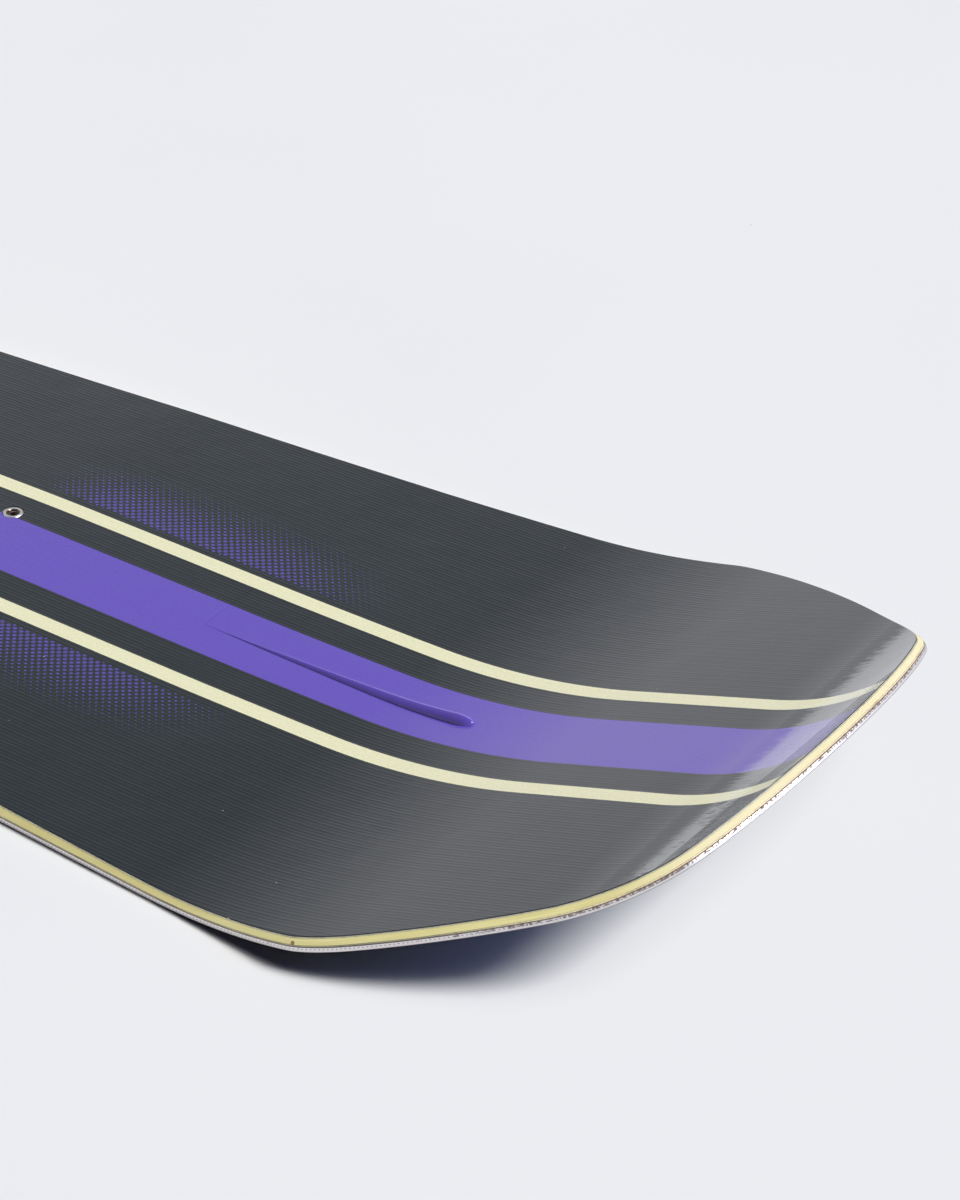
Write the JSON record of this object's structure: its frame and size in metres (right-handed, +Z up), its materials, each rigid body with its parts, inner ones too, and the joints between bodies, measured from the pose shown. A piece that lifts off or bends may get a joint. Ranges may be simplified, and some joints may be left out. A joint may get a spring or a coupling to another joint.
{
  "type": "snowboard",
  "caption": "Twin-tip laminated snowboard with wrapped steel edges, an all-round plastic sidewall, threaded binding inserts and raised stiffening ribs under a dark striped topsheet.",
  "frame": {"origin": "middle of the board, at the height of the flat running base", "axes": "+X towards the nose, +Y towards the board's left edge, +Z up from the running base to the topsheet"},
  "size_m": [1.458, 0.3016, 0.064],
  "materials": {
    "running_base": "sintered, stone-ground, waxed",
    "edge_steel": "ground, lightly rusted in spots",
    "edge_rubber": "thin damping foil",
    "glass_laminate": "glass cloth in clear resin",
    "core_wood": "planed vertical laminate",
    "sidewall": "pale yellow, machined bevel, satin",
    "patch_laminate": "glass cloth patch",
    "stiffening_rod": "pultruded carbon",
    "topsheet": "dark film with fine cross ridges, purple band and pale yellow stripes, satin",
    "insert_steel": "turned stainless steel"
  },
  "bodies": {
    "root": {"base_sheet": "running_base", "steel_edge_left": "edge_steel", "rubber_strip_left": "edge_rubber", "steel_edge_right": "edge_steel", "rubber_strip_right": "edge_rubber", "bottom_fiberglass": "glass_laminate", "core_strip_left_inner": "core_wood", "core_strip_left_middle": "core_wood", "core_strip_left_outer": "core_wood", "core_strip_right_inner": "core_wood", "core_strip_right_middle": "core_wood", "core_strip_right_outer": "core_wood", "sidewall": "sidewall", "insert_patch_front": "patch_laminate", "insert_patch_rear": "patch_laminate", "top_fiberglass": "glass_laminate", "stiffening_rod_nose": "stiffening_rod", "stiffening_rod_tail": "stiffening_rod", "topsheet": "topsheet", "insert_front_left_1": "insert_steel", "insert_front_left_2": "insert_steel", "insert_front_left_3": "insert_steel", "insert_front_left_4": "insert_steel", "insert_front_left_5": "insert_steel", "insert_front_left_6": "insert_steel", "insert_front_right_1": "insert_steel", "insert_front_right_2": "insert_steel", "insert_front_right_3": "insert_steel", "insert_front_right_4": "insert_steel", "insert_front_right_5": "insert_steel", "insert_front_right_6": "insert_steel", "insert_rear_left_1": "insert_steel", "insert_rear_left_2": "insert_steel", "insert_rear_left_3": "insert_steel", "insert_rear_left_4": "insert_steel", "insert_rear_left_5": "insert_steel", "insert_rear_left_6": "insert_steel", "insert_rear_right_1": "insert_steel", "insert_rear_right_2": "insert_steel", "insert_rear_right_3": "insert_steel", "insert_rear_right_4": "insert_steel", "insert_rear_right_5": "insert_steel", "insert_rear_right_6": "insert_steel"}
  },
  "joints": []
}
